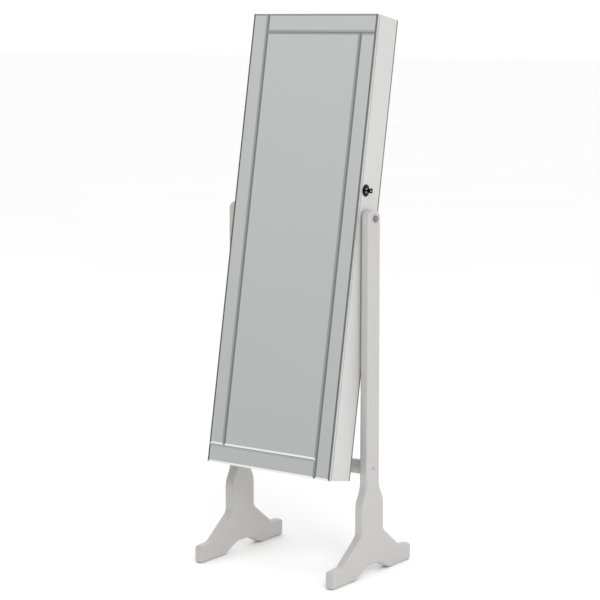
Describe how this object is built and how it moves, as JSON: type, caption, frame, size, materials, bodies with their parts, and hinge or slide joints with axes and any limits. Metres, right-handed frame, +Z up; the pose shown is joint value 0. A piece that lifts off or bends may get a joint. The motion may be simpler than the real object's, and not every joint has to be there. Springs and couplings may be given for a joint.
{
  "type": "jewelry armoire",
  "caption": "Leaning cheval jewelry cabinet between two posts on arched feet, its locking door faced with a bevelled mirror in a mirrored border.",
  "frame": {"origin": "on the floor, midway between the two feet and midway along them", "axes": "+X to the right of someone facing the mirror, +Y towards the wall behind, +Z up"},
  "size_m": [0.4846, 0.38, 1.5112],
  "materials": {
    "silver_paint": "satin",
    "inner_paint": "satin",
    "back_paint": "satin",
    "velvet": "matte",
    "mirror": "polished",
    "nickel": "satin",
    "dark_bronze": "satin",
    "zinc_steel": "satin",
    "grey_knob": "satin",
    "nylon": "matte",
    "black_rubber": "matte",
    "dowel_wood": "matte"
  },
  "bodies": {
    "stand": {"right_foot": "silver_paint", "right_post": "silver_paint", "left_foot": "silver_paint", "left_post": "silver_paint", "cross_rail": "silver_paint", "cross_rail_bolts": "nickel", "cross_rail_barrel_nuts": "zinc_steel", "foot_screws": "nickel", "foot_glides": "nylon", "friction_washers": "nylon"},
    "right_clamp": {"right_clamp_stud": "zinc_steel", "right_clamp_knob": "grey_knob"},
    "left_clamp": {"left_clamp_stud": "zinc_steel", "left_clamp_knob": "grey_knob"},
    "cabinet": {"cabinet_right_side": "silver_paint", "cabinet_left_side": "silver_paint", "cabinet_top": "silver_paint", "cabinet_bottom": "silver_paint", "cabinet_back": "back_paint", "cabinet_dowels": "dowel_wood", "back_lining": "velvet", "lower_bin_shelf": "inner_paint", "upper_bin_shelf": "inner_paint", "ring_shelf": "inner_paint", "earring_shelf": "inner_paint", "necklace_shelf": "inner_paint", "shelf_lips": "inner_paint", "bin_dividers": "inner_paint", "necklace_hook_rail": "inner_paint", "necklace_hooks": "nickel", "earring_rack": "inner_paint", "ring_rolls": "velvet", "bracelet_rod": "velvet", "bracelet_rod_sockets": "inner_paint", "pivot_inserts": "zinc_steel", "hinge_cabinet_leaves": "nickel", "hinge_pins": "nickel", "lock_barrel": "dark_bronze", "lock_escutcheon": "dark_bronze", "lock_nut": "nickel", "magnetic_catches": "black_rubber", "door_bumpers": "black_rubber"},
    "door": {"door_panel": "silver_paint", "mirror_centre": "mirror", "mirror_strip_left": "mirror", "mirror_strip_right": "mirror", "mirror_strip_top": "mirror", "mirror_strip_bottom": "mirror", "door_lining": "velvet", "door_hook_rail": "inner_paint", "door_hooks": "nickel", "door_earring_rack": "inner_paint", "lock_strike": "zinc_steel", "catch_plates": "zinc_steel", "door_hardware_screws": "zinc_steel", "hinge_door_leaves": "nickel"},
    "lock_core": {"lock_plug": "nickel", "lock_cam": "zinc_steel", "lock_cam_screw": "zinc_steel"},
    "key": {"key": "dark_bronze"}
  },
  "joints": [
    {"name": "cabinet_tilt", "type": "hinge", "parent": "stand", "child": "cabinet", "pos_m": [0, 0, 0.973], "axis": [-1, 0, 0], "range_deg": [-4, 12]},
    {"name": "door_swing", "type": "hinge", "parent": "cabinet", "child": "door", "pos_m": [-0.2077, -0.04487, 0.89781], "axis": [0, -0.1788, -0.9839], "range_deg": [0, 100]},
    {"name": "lock_turn", "type": "hinge", "parent": "cabinet", "child": "lock_core", "pos_m": [0.205, -0.00012, 1.04671], "axis": [1, 0, 0], "range_deg": [0, 90]},
    {"name": "key_draw", "type": "slide", "parent": "lock_core", "child": "key", "axis": [1, 0, 0], "range_m": [0, 0.03]},
    {"name": "right_knob_turn", "type": "hinge", "parent": "stand", "child": "right_clamp", "pos_m": [0.235, 0, 0.973], "axis": [1, 0, 0], "continuous": true},
    {"name": "left_knob_turn", "type": "hinge", "parent": "stand", "child": "left_clamp", "pos_m": [-0.235, 0, 0.973], "axis": [-1, 0, 0], "continuous": true}
  ]
}
